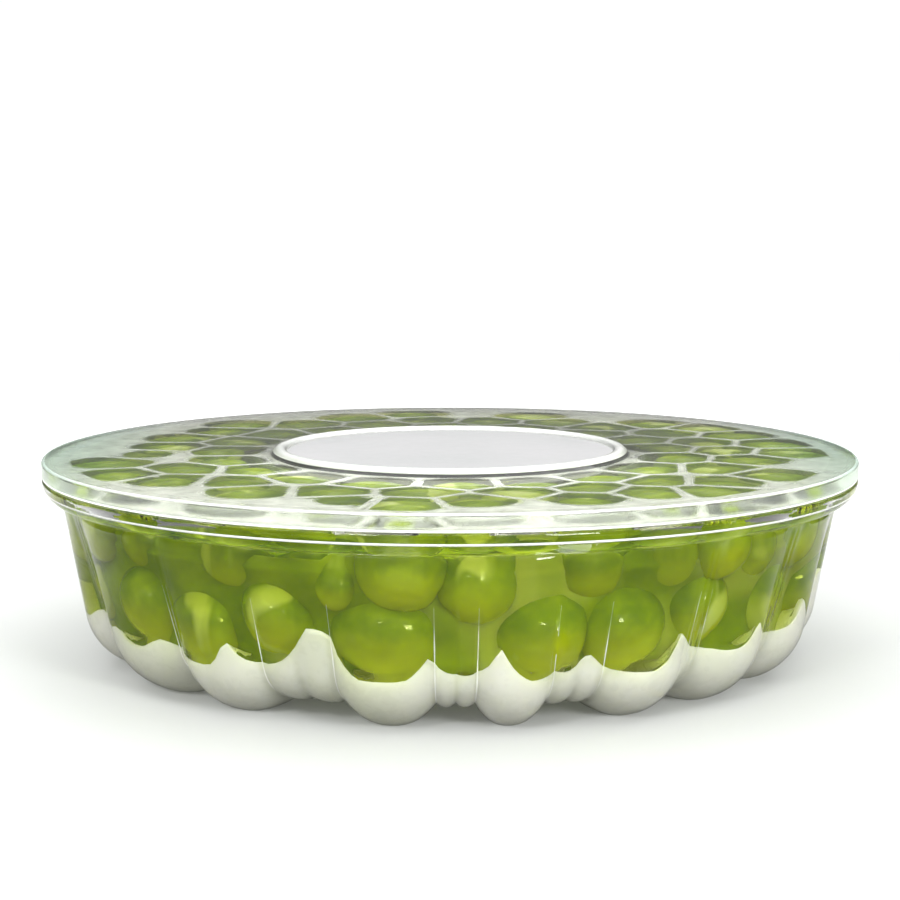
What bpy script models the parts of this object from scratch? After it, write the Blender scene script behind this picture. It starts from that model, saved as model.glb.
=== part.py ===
"""A fruit jelly set in a clear fluted ring mould, with a round glass plate laid upside down on the rim.

Metres, +Z up. The mould stands on the lobes of its crown at z = 0 and its axis is the Z axis. The front
is -Y, and angles are measured from the front towards +X. Every surface is a stack of rings round the axis.
The pieces, from the bottom: milk jelly in the lobes, clear jelly over it, the mould that holds both, the
mould's chimney, and the plate, whose foot ring points up.
"""

import math
from typing import NamedTuple

import bmesh
import bpy

# Whole object
RIM_RADIUS = 0.125  # plate and mould flange alike
GAP = 0.0003  # between neighbouring pieces
SIDE_GAP = 0.0006  # between a jelly and the mould's fluted wall, whose facets don't quite match

# Plate
PLATE_TOP = 0.062
PLATE_THICKNESS = 0.0048
PLATE_EDGE_ROUND = 0.0009
FOOT_RING_RADIUS = 0.0527  # centre line
FOOT_RING_HALF_WIDTH = 0.0023
FOOT_RING_HEIGHT = 0.0015

# Mould
MOULD_TOP = PLATE_TOP - PLATE_THICKNESS - GAP
WALL = 0.0015
COLLAR_RADIUS = 0.1184  # where the flange turns into the wall
COLLAR_HEIGHT = 0.050
VALLEY_HEIGHT = 0.006  # of the crown between the lobes
CORNER_CENTRE = (0.094, 0.020)  # radius and height
CORNER_SIZE = (0.0146, CORNER_CENTRE[1] - VALLEY_HEIGHT)
WALL_MIDDLE = 0.55  # share of the way down the wall of the ring between its two ends
CORNER_START = 18  # degrees below level, where the wall runs into the corner
CROWN_INNER_RADIUS = 0.087  # where the crown starts to rise to the chimney
CHIMNEY_FOOT = (0.062, 0.026)
CHIMNEY_TOP_RADIUS = 0.0505

# Fluting: a big lobe stands out by the relief given at each height, and two small flutes fill each valley
RELIEF_AT_COLLAR = 0.0008
RELIEF_AT_FOOT = 0.0050
RELIEF_OF_CROWN = 0.0066
RELIEF_TOWARDS_CHIMNEY = 0.0030
SMALL_CREST = 0.20  # a small flute's relief as a share of a big lobe's
SMALL_CREST_PER_DEGREE = 0.04
ARCH_POWER = 2.4
LOBE_STEPS = 5
SMALL_STEPS = 2
# The lobes seen from the front are uneven, so each is given by the angles where it starts and ends.
FRONT_LOBES = ((-65, -43.5), (-42.8, -27.6), (-16.4, -2.1), (3.8, 14.7), (22.1, 36.3), (38.4, 54))
EVEN_LOBES_START, EVEN_LOBES_END = 57, 292
EVEN_LOBE_PITCH, EVEN_LOBE_WIDTH = 20, 15

# Jellies
MILK_LEVEL = 0.0275  # in the valleys
MILK_DIP = 0.0075  # lower over each lobe, where a grape rests
MILK_MIDDLE = (0.083, 0.0235)  # radius and height of the layer's hollow
MILK_AT_CHIMNEY = 0.0255

# Coarser rings take every second or every sixth point of a fluted ring
RIM_STRIDE = 2
CHIMNEY_STRIDE = 6
PLATE_SEGMENTS = 72


class Station(NamedTuple):
    """One height of the mould's outer face: where it is, which way it faces, and how far a lobe stands out."""

    radius: float
    height: float
    out: float
    up: float
    relief: float


def between(start, end, share):
    return start + share * (end - start)


def clear_scene():
    for obj in list(bpy.data.objects):
        bpy.data.objects.remove(obj, do_unlink=True)


# ---------------------------------------------------------------- fluting


def lobe_spans():
    """The angles where each big lobe starts and ends, once round."""
    starts = range(EVEN_LOBES_START, EVEN_LOBES_END, EVEN_LOBE_PITCH)
    return list(FRONT_LOBES) + [(start, start + EVEN_LOBE_WIDTH) for start in starts]


def arch(start, end, steps, crest):
    """(angle, relief) pairs over one rounded rib, leaving out its last point."""
    points = []
    for step in range(steps):
        across = 2 * step / steps - 1
        angle = math.radians(between(start, end, step / steps))
        points.append((angle, crest * (1 - abs(across) ** ARCH_POWER)))
    return points


def fluting():
    """(angle, relief) pairs of a whole ring, where a relief of 1 is a big lobe's crest."""
    spans = lobe_spans()
    next_starts = [start for start, _ in spans[1:]] + [spans[0][0] + 360]
    points = []
    for (start, end), next_start in zip(spans, next_starts):
        middle = (end + next_start) / 2
        crest = min(SMALL_CREST, SMALL_CREST_PER_DEGREE * (next_start - end))
        points += arch(start, end, LOBE_STEPS, 1)
        points += arch(end, middle, SMALL_STEPS, crest)
        points += arch(middle, next_start, SMALL_STEPS, crest)
    return points


FLUTING = fluting()


# ---------------------------------------------------------------- the mould's outer face


def corner_station(degrees):
    """Station on the bottom corner: 0 faces out and 90 faces down."""
    turn = math.radians(degrees)
    share = (degrees - CORNER_START) / (90 - CORNER_START)
    return Station(
        CORNER_CENTRE[0] + CORNER_SIZE[0] * math.cos(turn),
        CORNER_CENTRE[1] - CORNER_SIZE[1] * math.sin(turn),
        math.cos(turn),
        -math.sin(turn),
        between(RELIEF_AT_FOOT, RELIEF_OF_CROWN, share),
    )


def wall_station(share):
    """Station on the straight wall: 0 is the collar and 1 the top of the corner."""
    foot = corner_station(CORNER_START)
    return Station(
        between(COLLAR_RADIUS, foot.radius, share),
        between(COLLAR_HEIGHT, foot.height, share),
        foot.out,
        foot.up,
        between(RELIEF_AT_COLLAR, RELIEF_AT_FOOT, share),
    )


def wall_station_at(height):
    foot = corner_station(CORNER_START)
    return wall_station((COLLAR_HEIGHT - height) / (COLLAR_HEIGHT - foot.height))


def crown_station(degrees):
    """Station where the crown curves up to the chimney: 0 faces down and 90 faces the axis."""
    turn = math.radians(degrees)
    return Station(
        CROWN_INNER_RADIUS - (CROWN_INNER_RADIUS - CHIMNEY_FOOT[0]) * math.sin(turn),
        CHIMNEY_FOOT[1] - (CHIMNEY_FOOT[1] - VALLEY_HEIGHT) * math.cos(turn),
        -math.sin(turn),
        -math.cos(turn),
        RELIEF_OF_CROWN if degrees == 0 else RELIEF_TOWARDS_CHIMNEY,
    )


CORNER = [corner_station(degrees) for degrees in (CORNER_START, 42, 66, 90)]
CROWN = [crown_station(degrees) for degrees in (0, 32)]
CROWN_RISE = crown_station(64)


def chimney_radius(height):
    """Of the hollow side of the chimney's wall."""
    share = (height - CHIMNEY_FOOT[1]) / (MOULD_TOP - CHIMNEY_FOOT[1])
    return between(CHIMNEY_FOOT[0], CHIMNEY_TOP_RADIUS, share)


# ---------------------------------------------------------------- rings


def place(angle, radius, height):
    return (radius * math.sin(angle), -radius * math.cos(angle), height)


def fluted_ring(bm, station_of, inset):
    """Ring on the mould's outer face, or inset from it. station_of gives the station for a relief."""
    ring = []
    for angle, flute in FLUTING:
        station = station_of(flute)
        lift = station.relief * flute - inset
        height = max(station.height + station.up * lift, inset)  # the lobes end in small flat feet
        ring.append(bm.verts.new(place(angle, station.radius + station.out * lift, height)))
    return ring


def fluted_rings(bm, stations, inset):
    return [fluted_ring(bm, lambda flute, s=station: s, inset) for station in stations]


def turned_ring(bm, radius, height, stride):
    return [bm.verts.new(place(angle, radius, height)) for angle, _ in FLUTING[::stride]]


def even_ring(bm, radius, height):
    turn = 2 * math.pi / PLATE_SEGMENTS
    return [bm.verts.new(place(index * turn, radius, height)) for index in range(PLATE_SEGMENTS)]


def join_rings(bm, first, second):
    """Band of faces between two rings. One may have a whole number of times as many points as the other."""
    fine, coarse = (first, second) if len(first) >= len(second) else (second, first)
    ratio = len(fine) // len(coarse)
    for index, corner in enumerate(coarse):
        next_corner = coarse[(index + 1) % len(coarse)]
        edge = [fine[(index * ratio + step) % len(fine)] for step in range(ratio + 1)]
        if ratio == 1:
            bm.faces.new((corner, next_corner, edge[1]))
            bm.faces.new((corner, edge[1], edge[0]))
            continue
        half = (ratio + 1) // 2
        for step in range(ratio):
            nearest = corner if step < half else next_corner
            bm.faces.new((nearest, edge[step + 1], edge[step]))
        bm.faces.new((corner, next_corner, edge[half]))


def join_stack(bm, rings):
    for first, second in zip(rings, rings[1:]):
        join_rings(bm, first, second)


def close_centre(bm, ring, height):
    """Flat or slightly coned end over a ring, round one point on the axis."""
    centre = bm.verts.new((0, 0, height))
    for first, second in zip(ring, ring[1:] + ring[:1]):
        bm.faces.new((first, second, centre))


# ---------------------------------------------------------------- objects


def make_material(name, colour, roughness, transmission):
    material = bpy.data.materials.new(name)
    material.use_nodes = True
    shader = material.node_tree.nodes["Principled BSDF"]
    shader.inputs["Base Color"].default_value = (*colour, 1)
    shader.inputs["Roughness"].default_value = roughness
    shader.inputs["Metallic"].default_value = 0
    shader.inputs["Transmission Weight"].default_value = transmission
    return material


def make_object(name, bm, material):
    """Node from the triangles drawn so far, turned to face out."""
    bmesh.ops.recalc_face_normals(bm, faces=bm.faces[:])
    mesh = bpy.data.meshes.new(name)
    bm.to_mesh(mesh)
    bm.free()
    mesh.materials.append(material)
    mesh.shade_smooth()
    mesh.set_sharp_from_angle(angle=math.radians(40))
    obj = bpy.data.objects.new(name, mesh)
    bpy.context.scene.collection.objects.link(obj)
    return obj


def make_plate():
    """Flat disc, upside down: its smooth serving face lies on the mould and its foot ring is on top."""
    bm = bmesh.new()
    bottom = PLATE_TOP - PLATE_THICKNESS
    rim = RIM_RADIUS
    rings = [
        even_ring(bm, rim - PLATE_EDGE_ROUND, bottom),
        even_ring(bm, rim, bottom + PLATE_EDGE_ROUND),
        even_ring(bm, rim, PLATE_TOP - PLATE_EDGE_ROUND),
        even_ring(bm, rim - PLATE_EDGE_ROUND, PLATE_TOP),
    ]
    for degrees in range(0, 181, 45):
        turn = math.radians(degrees)
        radius = FOOT_RING_RADIUS + FOOT_RING_HALF_WIDTH * math.cos(turn)
        rings.append(even_ring(bm, radius, PLATE_TOP + FOOT_RING_HEIGHT * math.sin(turn)))
    join_stack(bm, rings)
    close_centre(bm, rings[0], bottom)
    close_centre(bm, rings[-1], PLATE_TOP)
    return make_object("glass_plate", bm, make_material("plate_glass", (0.86, 0.93, 0.89), 0.03, 1))


def make_chimney():
    """Hollow middle of the mould, closed at the top. It is moulded in one with the rest, and is a node
    of its own so that its hollow stays open to collision."""
    bm = bmesh.new()
    foot = CHIMNEY_FOOT[1] + GAP
    under_top = MOULD_TOP - WALL
    outside = [
        turned_ring(bm, chimney_radius(foot), foot, CHIMNEY_STRIDE),
        turned_ring(bm, chimney_radius(under_top), under_top, CHIMNEY_STRIDE),
    ]
    inside = [
        turned_ring(bm, chimney_radius(foot) + WALL, foot, CHIMNEY_STRIDE),
        turned_ring(bm, CHIMNEY_TOP_RADIUS + WALL, MOULD_TOP, CHIMNEY_STRIDE),
    ]
    join_stack(bm, outside)
    join_stack(bm, inside)
    join_rings(bm, outside[0], inside[0])
    close_centre(bm, outside[-1], under_top)
    close_centre(bm, inside[-1], MOULD_TOP)
    return make_object("mould_chimney", bm, make_material("clear_chimney", (0.95, 0.97, 0.95), 0.05, 1))


def make_mould():
    """Fluted ring mould with a flange, up to the foot of its chimney."""
    bm = bmesh.new()
    flange_width = RIM_RADIUS - COLLAR_RADIUS
    flange_depth = MOULD_TOP - COLLAR_HEIGHT
    flange = []
    for degrees in (0, 32, 62):
        turn = math.radians(degrees)
        radius = COLLAR_RADIUS + flange_width * math.cos(turn)
        flange.append(turned_ring(bm, radius, MOULD_TOP - flange_depth * math.sin(turn), RIM_STRIDE))

    outer_wall = [wall_station(0), wall_station(WALL_MIDDLE)]
    rise = CROWN_RISE
    outside = fluted_rings(bm, outer_wall + CORNER + CROWN, 0)
    outside += [
        turned_ring(bm, rise.radius, rise.height, CHIMNEY_STRIDE),
        turned_ring(bm, CHIMNEY_FOOT[0], CHIMNEY_FOOT[1], CHIMNEY_STRIDE),
    ]

    inside = [turned_ring(bm, COLLAR_RADIUS - WALL, MOULD_TOP, RIM_STRIDE)]
    inside += fluted_rings(bm, outer_wall + CORNER + CROWN, WALL)
    inside += [
        turned_ring(bm, rise.radius - rise.out * WALL, rise.height - rise.up * WALL, CHIMNEY_STRIDE),
        turned_ring(bm, CHIMNEY_FOOT[0] + WALL, CHIMNEY_FOOT[1], CHIMNEY_STRIDE),
    ]

    join_stack(bm, flange + outside)
    join_stack(bm, inside)
    join_rings(bm, flange[0], inside[0])
    join_rings(bm, outside[-1], inside[-1])
    return make_object("mould", bm, make_material("clear_mould", (0.95, 0.97, 0.95), 0.05, 1))


def milk_edge(flute):
    """Station of the milk layer's upper edge, which dips over a lobe."""
    return wall_station_at(MILK_LEVEL - MILK_DIP * flute)


def make_milk_jelly():
    """White layer that fills the lobes and the crown up to its dipped level."""
    bm = bmesh.new()
    inset = WALL + SIDE_GAP
    edge = fluted_ring(bm, milk_edge, inset)
    chimney_foot = CHIMNEY_FOOT[0] + inset
    rise = CROWN_RISE
    rings = [edge] + fluted_rings(bm, CORNER + CROWN, inset)
    rings += [
        turned_ring(bm, rise.radius - rise.out * inset, rise.height - rise.up * inset, CHIMNEY_STRIDE),
        turned_ring(bm, chimney_foot, MILK_AT_CHIMNEY, CHIMNEY_STRIDE),
        turned_ring(bm, MILK_MIDDLE[0], MILK_MIDDLE[1], CHIMNEY_STRIDE),
        edge,
    ]
    join_stack(bm, rings)
    return make_object("milk_jelly", bm, make_material("milk_jelly", (0.70, 0.70, 0.60), 0.25, 0))


def make_clear_jelly():
    """Clear layer from just above the milk jelly up to the plate. The grapes are inside it."""
    bm = bmesh.new()
    inset = WALL + SIDE_GAP
    edge = fluted_ring(bm, milk_edge, inset)
    for vertex in edge:
        vertex.co.z += GAP
    top = turned_ring(bm, COLLAR_RADIUS - inset, MOULD_TOP, RIM_STRIDE)
    rings = [top] + fluted_rings(bm, [wall_station(0), wall_station(WALL_MIDDLE)], inset)
    rings += [
        edge,
        turned_ring(bm, MILK_MIDDLE[0], MILK_MIDDLE[1] + GAP, CHIMNEY_STRIDE),
        turned_ring(bm, CHIMNEY_FOOT[0] + inset, CHIMNEY_FOOT[1] + GAP, CHIMNEY_STRIDE),
        turned_ring(bm, CHIMNEY_TOP_RADIUS + inset, MOULD_TOP, CHIMNEY_STRIDE),
        top,
    ]
    join_stack(bm, rings)
    return make_object("clear_jelly", bm, make_material("clear_jelly", (0.42, 0.52, 0.04), 0.08, 0.8))


def main():
    clear_scene()
    make_milk_jelly()
    make_clear_jelly()
    make_mould()
    make_chimney()
    make_plate()


main()
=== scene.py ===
"""Looks of a fruit jelly in a clear fluted ring mould, with a glass plate laid upside down on its rim.

White milk jelly fills the mould's lobes. Over it, clear green jelly holds a bed of green grapes, and the
uppermost grapes press the jelly against the plate in pale-rimmed patches. Everything is in metres, +Z up,
with the front at -Y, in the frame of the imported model.
"""

import logging
import math
from dataclasses import dataclass, field
from enum import Enum

import bpy
import numpy as np
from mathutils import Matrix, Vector


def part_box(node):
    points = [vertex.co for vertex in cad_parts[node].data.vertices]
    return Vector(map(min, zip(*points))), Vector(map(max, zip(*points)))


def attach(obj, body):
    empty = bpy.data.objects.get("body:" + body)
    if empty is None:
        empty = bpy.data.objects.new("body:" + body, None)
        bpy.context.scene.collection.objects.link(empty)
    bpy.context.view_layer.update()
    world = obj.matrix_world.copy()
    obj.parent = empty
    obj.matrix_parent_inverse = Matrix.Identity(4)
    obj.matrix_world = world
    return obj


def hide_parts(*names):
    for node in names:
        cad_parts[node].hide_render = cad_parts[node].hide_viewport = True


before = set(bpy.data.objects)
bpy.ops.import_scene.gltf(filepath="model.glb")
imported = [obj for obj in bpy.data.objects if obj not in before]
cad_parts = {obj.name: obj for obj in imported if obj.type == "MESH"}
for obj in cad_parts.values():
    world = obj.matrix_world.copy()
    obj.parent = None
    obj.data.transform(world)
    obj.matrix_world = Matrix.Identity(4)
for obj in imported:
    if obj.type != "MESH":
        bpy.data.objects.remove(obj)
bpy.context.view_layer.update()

LOG = logging.getLogger("jelly")

Array = np.ndarray
Colour = tuple[float, float, float]
Place = tuple[float, float, float]


class Slot(Enum):
    """The record's material slots."""

    PLATE = "plate_glass"
    MOULD = "clear_mould"
    CLEAR = "clear_jelly"
    MILK = "milk_jelly"
    GRAPE = "grape_skin"


# ------------------------------------------------------------------ shader building


class NodeWriter:
    """Short ways to add and link the nodes of one tree."""

    def __init__(self, tree: bpy.types.NodeTree) -> None:
        """Keeps the tree.

        Args:
            tree: The node tree to fill.
        """
        self.tree = tree

    def add(self, kind: str, **inputs: object) -> bpy.types.Node:
        """Adds a node.

        Args:
            kind: The node's type name.
            **inputs: Values of its input sockets, with spaces in their names written as underscores.

        Returns:
            The new node.
        """
        node = self.tree.nodes.new(kind)
        for name, value in inputs.items():
            node.inputs[name.replace("_", " ")].default_value = value
        return node

    def join(self, source: bpy.types.NodeSocket, target: bpy.types.NodeSocket) -> None:
        """Links an output socket to an input socket."""
        self.tree.links.new(source, target)

    def math(self, operation: str, *parts: bpy.types.NodeSocket | float) -> bpy.types.NodeSocket:
        """Adds a math node.

        Args:
            operation: What it does with its inputs.
            *parts: Its inputs in order, each a socket to link or a number.

        Returns:
            The result's socket.
        """
        node = self.tree.nodes.new("ShaderNodeMath")
        node.operation = operation
        for part, target in zip(parts, node.inputs):
            if isinstance(part, bpy.types.NodeSocket):
                self.join(part, target)
            else:
                target.default_value = part
        return node.outputs[0]


class ShaderGraph(NodeWriter):
    """A node tree for a material, a world or a shader group."""

    def __init__(self, tree: bpy.types.NodeTree) -> None:
        """Keeps the tree and clears it.

        Args:
            tree: The node tree to fill.
        """
        super().__init__(tree)
        tree.nodes.clear()

    def group(self, group: bpy.types.NodeTree, **inputs: object) -> bpy.types.Node:
        """Places a shared node group.

        Args:
            group: The group's tree.
            **inputs: Values of its inputs, with spaces written as underscores.

        Returns:
            The group node.
        """
        node = self.tree.nodes.new("ShaderNodeGroup")
        node.node_tree = group
        for name, value in inputs.items():
            node.inputs[name.replace("_", " ")].default_value = value
        return node

    def mix_colours(
        self, factor: bpy.types.NodeSocket, first: bpy.types.NodeSocket, second: bpy.types.NodeSocket | Colour
    ) -> bpy.types.NodeSocket:
        """Mixes two colours.

        Args:
            factor: Gives 0 for the first colour and 1 for the second.
            first: The first colour.
            second: The second colour, a socket or a fixed colour.

        Returns:
            The mixed colour's socket.
        """
        node = self.add("ShaderNodeMix")
        node.data_type = "RGBA"
        self.join(factor, node.inputs["Factor"])
        self.join(first, node.inputs["A"])
        if isinstance(second, bpy.types.NodeSocket):
            self.join(second, node.inputs["B"])
        else:
            node.inputs["B"].default_value = (*second, 1.0)
        return node.outputs["Result"]


def new_group(
    name: str, inputs: dict[str, object], outputs: dict[str, str]
) -> tuple[ShaderGraph, dict, dict]:
    """Starts a shader node group.

    Args:
        name: The group's name.
        inputs: Input names with their values, a number or an RGBA colour.
        outputs: Output names with their socket types.

    Returns:
        The graph, its input sockets by name and its output sockets by name.
    """
    tree = bpy.data.node_groups.new(name, "ShaderNodeTree")
    graph = ShaderGraph(tree)
    for label, value in inputs.items():
        kind = "NodeSocketColor" if isinstance(value, tuple) else "NodeSocketFloat"
        socket = tree.interface.new_socket(label, in_out="INPUT", socket_type=kind)
        socket.default_value = value
    for label, kind in outputs.items():
        tree.interface.new_socket(label, in_out="OUTPUT", socket_type=kind)
    start = tree.nodes.new("NodeGroupInput")
    end = tree.nodes.new("NodeGroupOutput")
    return graph, {s.name: s for s in start.outputs}, {s.name: s for s in end.inputs}


def build_ripple_group() -> bpy.types.NodeTree:
    """Soft unevenness of a moulded or set surface.

    Returns:
        A group that turns Scale into a Height for a bump and a Roughness between Smooth and Dull.
    """
    graph, given, put = new_group(
        "surface_ripple",
        {"Scale": 40.0, "Fine Scale": 300.0, "Smooth": 0.0, "Dull": 0.05},
        {"Height": "NodeSocketFloat", "Roughness": "NodeSocketFloat"},
    )
    place = graph.add("ShaderNodeTexCoord")
    broad = graph.add("ShaderNodeTexNoise", Detail=2.0, Roughness=0.4)
    fine = graph.add("ShaderNodeTexNoise", Detail=3.0, Roughness=0.6)
    graph.join(place.outputs["Object"], broad.inputs["Vector"])
    graph.join(place.outputs["Object"], fine.inputs["Vector"])
    graph.join(given["Scale"], broad.inputs["Scale"])
    graph.join(given["Fine Scale"], fine.inputs["Scale"])
    mixed = graph.add("ShaderNodeMix", Factor=0.15)
    graph.join(broad.outputs["Fac"], mixed.inputs["A"])
    graph.join(fine.outputs["Fac"], mixed.inputs["B"])
    graph.join(mixed.outputs["Result"], put["Height"])
    spread = graph.add("ShaderNodeMapRange", From_Min=0.35, From_Max=0.7)
    graph.join(fine.outputs["Fac"], spread.inputs["Value"])
    graph.join(given["Smooth"], spread.inputs["To Min"])
    graph.join(given["Dull"], spread.inputs["To Max"])
    graph.join(spread.outputs["Result"], put["Roughness"])
    return graph.tree


def build_mottle_group() -> bpy.types.NodeTree:
    """Uneven colour from two noises of different size.

    Returns:
        A group that puts out a Color between Deep and Pale, and the Mask between them.
    """
    graph, given, put = new_group(
        "colour_mottle",
        {"Deep": (0.2, 0.3, 0.02, 1.0), "Pale": (0.4, 0.5, 0.05, 1.0), "Scale": 60.0},
        {"Color": "NodeSocketColor", "Mask": "NodeSocketFloat"},
    )
    place = graph.add("ShaderNodeTexCoord")
    noise = graph.add("ShaderNodeTexNoise", Detail=4.0, Roughness=0.55)
    graph.join(place.outputs["Object"], noise.inputs["Vector"])
    graph.join(given["Scale"], noise.inputs["Scale"])
    spread = graph.add("ShaderNodeMapRange", From_Min=0.32, From_Max=0.68)
    graph.join(noise.outputs["Fac"], spread.inputs["Value"])
    colour = graph.mix_colours(spread.outputs["Result"], given["Deep"], given["Pale"])
    graph.join(colour, put["Color"])
    graph.join(spread.outputs["Result"], put["Mask"])
    return graph.tree


def build_ends_group() -> bpy.types.NodeTree:
    """Colour that changes towards the left and right ends of a piece.

    Returns:
        A group that puts out a Color going from Middle to Ends between the distances Start and Full.
    """
    graph, given, put = new_group(
        "colour_to_ends",
        {"Middle": (1.0, 1.0, 1.0, 1.0), "Ends": (0.7, 0.9, 0.85, 1.0), "Start": 0.08, "Full": 0.12},
        {"Color": "NodeSocketColor"},
    )
    place = graph.add("ShaderNodeTexCoord")
    split = graph.add("ShaderNodeSeparateXYZ")
    graph.join(place.outputs["Object"], split.inputs[0])
    spread = graph.add("ShaderNodeMapRange")
    spread.interpolation_type = "SMOOTHSTEP"
    graph.join(graph.math("ABSOLUTE", split.outputs["X"]), spread.inputs["Value"])
    graph.join(given["Start"], spread.inputs["From Min"])
    graph.join(given["Full"], spread.inputs["From Max"])
    colour = graph.mix_colours(spread.outputs["Result"], given["Middle"], given["Ends"])
    graph.join(colour, put["Color"])
    return graph.tree


def build_cloud_group() -> bpy.types.NodeTree:
    """Patches with soft edges, longer in height than in width.

    Returns:
        A group that puts out a Mask, 1 in the patches. Amount moves the edge of the patches.
    """
    graph, given, put = new_group(
        "soft_patches",
        {"Scale": 40.0, "Amount": 0.6, "Softness": 0.05, "Tallness": 0.5},
        {"Mask": "NodeSocketFloat"},
    )
    place = graph.add("ShaderNodeTexCoord")
    split = graph.add("ShaderNodeSeparateXYZ")
    graph.join(place.outputs["Object"], split.inputs[0])
    merged = graph.add("ShaderNodeCombineXYZ")
    graph.join(split.outputs["X"], merged.inputs["X"])
    graph.join(split.outputs["Y"], merged.inputs["Y"])
    graph.join(graph.math("MULTIPLY", split.outputs["Z"], given["Tallness"]), merged.inputs["Z"])
    noise = graph.add("ShaderNodeTexNoise", Detail=2.0, Roughness=0.45, Distortion=0.6)
    graph.join(merged.outputs[0], noise.inputs["Vector"])
    graph.join(given["Scale"], noise.inputs["Scale"])
    upper = graph.math("ADD", given["Amount"], given["Softness"])
    spread = graph.add("ShaderNodeMapRange")
    spread.interpolation_type = "SMOOTHSTEP"
    graph.join(noise.outputs["Fac"], spread.inputs["Value"])
    graph.join(given["Amount"], spread.inputs["From Min"])
    graph.join(upper, spread.inputs["From Max"])
    graph.join(spread.outputs["Result"], put["Mask"])
    return graph.tree


class SharedGroups:
    """The node groups that the finishes use, each built once."""

    def __init__(self) -> None:
        """Builds the groups."""
        self.ripple = build_ripple_group()
        self.mottle = build_mottle_group()
        self.ends = build_ends_group()
        self.cloud = build_cloud_group()


def new_material(name: str) -> tuple[bpy.types.Material, ShaderGraph, bpy.types.Node]:
    """Starts a material.

    Args:
        name: The material's name.

    Returns:
        The material, its graph and its output node.
    """
    material = bpy.data.materials.new(name)
    material.use_nodes = True
    graph = ShaderGraph(material.node_tree)
    output = graph.add("ShaderNodeOutputMaterial")
    return material, graph, output


@dataclass(frozen=True)
class ClearFinish:
    """Glass, clear plastic or clear jelly. Light from lamps passes it, so that what is inside is lit."""

    name: str
    tint: Colour
    ior: float
    lamp_tint: Colour
    ripple_scale: float
    ripple_height: float
    smooth: float = 0.0
    dull: float = 0.02
    depth_tint: Colour | None = None
    depth_density: float = 0.0
    blur: float = 0.0
    end_tint: Colour | None = None
    end_span: tuple[float, float] = (0.085, 0.124)

    def build(self, groups: SharedGroups) -> bpy.types.Material:
        """Makes the material.

        Args:
            groups: The shared node groups.

        Returns:
            The new material.
        """
        material, graph, output = new_material(self.name)
        clear = graph.add(
            "ShaderNodeBsdfPrincipled",
            Base_Color=(*self.tint, 1.0),
            IOR=self.ior,
            Transmission_Weight=1.0,
            Metallic=0.0,
        )
        ripple = graph.group(
            groups.ripple, Scale=self.ripple_scale, Smooth=self.smooth, Dull=self.dull
        )
        bump = graph.add("ShaderNodeBump", Strength=1.0, Distance=self.ripple_height)
        graph.join(ripple.outputs["Height"], bump.inputs["Height"])
        graph.join(bump.outputs["Normal"], clear.inputs["Normal"])
        dullness = ripple.outputs["Roughness"]
        if self.blur:
            worn = graph.add("ShaderNodeAttribute")
            worn.attribute_name = "blur"
            dullness = graph.math("MULTIPLY_ADD", worn.outputs["Fac"], self.blur, dullness)
        graph.join(dullness, clear.inputs["Roughness"])
        if self.end_tint is not None:
            ends = graph.group(
                groups.ends, Middle=(*self.tint, 1.0), Ends=(*self.end_tint, 1.0),
                Start=self.end_span[0], Full=self.end_span[1],
            )
            graph.join(ends.outputs["Color"], clear.inputs["Base Color"])
        passing = graph.add("ShaderNodeBsdfTransparent", Color=(*self.lamp_tint, 1.0))
        path = graph.add("ShaderNodeLightPath")
        mix = graph.add("ShaderNodeMixShader")
        graph.join(path.outputs["Is Shadow Ray"], mix.inputs["Fac"])
        graph.join(clear.outputs["BSDF"], mix.inputs[1])
        graph.join(passing.outputs["BSDF"], mix.inputs[2])
        graph.join(mix.outputs["Shader"], output.inputs["Surface"])
        if self.depth_tint is not None:
            depth = graph.add(
                "ShaderNodeVolumeAbsorption", Color=(*self.depth_tint, 1.0), Density=self.depth_density
            )
            graph.join(depth.outputs["Volume"], output.inputs["Volume"])
        return material


@dataclass(frozen=True)
class SoftFinish:
    """An opaque food with light spreading under its skin, such as milk jelly or a grape, with an optional
    painted glow.
    """

    name: str
    deep: Colour
    pale: Colour
    mottle_scale: float
    spread: float
    spread_distance: float
    spread_colour: Colour
    ripple_scale: float
    ripple_height: float
    smooth: float
    dull: float
    ior: float = 1.4
    # Strength of a painted glow: emission in the surface's own colour, though it is no lamp.
    painted_glow: float = 0.0
    patch: Colour | None = None
    patch_scale: float = 40.0
    patch_start: float = 0.58

    def build(self, groups: SharedGroups) -> bpy.types.Material:
        """Makes the material.

        Args:
            groups: The shared node groups.

        Returns:
            The new material.
        """
        material, graph, output = new_material(self.name)
        body = graph.add(
            "ShaderNodeBsdfPrincipled",
            IOR=self.ior,
            Metallic=0.0,
            Subsurface_Weight=self.spread,
            Subsurface_Scale=self.spread_distance,
            Subsurface_Radius=self.spread_colour,
            Emission_Strength=self.painted_glow,
        )
        mottle = graph.group(
            groups.mottle,
            Deep=(*self.deep, 1.0),
            Pale=(*self.pale, 1.0),
            Scale=self.mottle_scale,
        )
        ripple = graph.group(
            groups.ripple, Scale=self.ripple_scale, Smooth=self.smooth, Dull=self.dull
        )
        bump = graph.add("ShaderNodeBump", Strength=1.0, Distance=self.ripple_height)
        colour = mottle.outputs["Color"]
        # Pale patches, painted where light comes through.
        if self.patch is not None:
            patch = graph.group(
                groups.cloud, Scale=self.patch_scale, Amount=self.patch_start, Softness=0.16, Tallness=0.4
            )
            colour = graph.mix_colours(patch.outputs["Mask"], colour, self.patch)
        graph.join(colour, body.inputs["Base Color"])
        # The emission takes the surface colour, which makes the painted glow.
        graph.join(colour, body.inputs["Emission Color"])
        graph.join(ripple.outputs["Height"], bump.inputs["Height"])
        graph.join(bump.outputs["Normal"], body.inputs["Normal"])
        graph.join(ripple.outputs["Roughness"], body.inputs["Roughness"])
        graph.join(body.outputs["BSDF"], output.inputs["Surface"])
        return material


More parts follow.
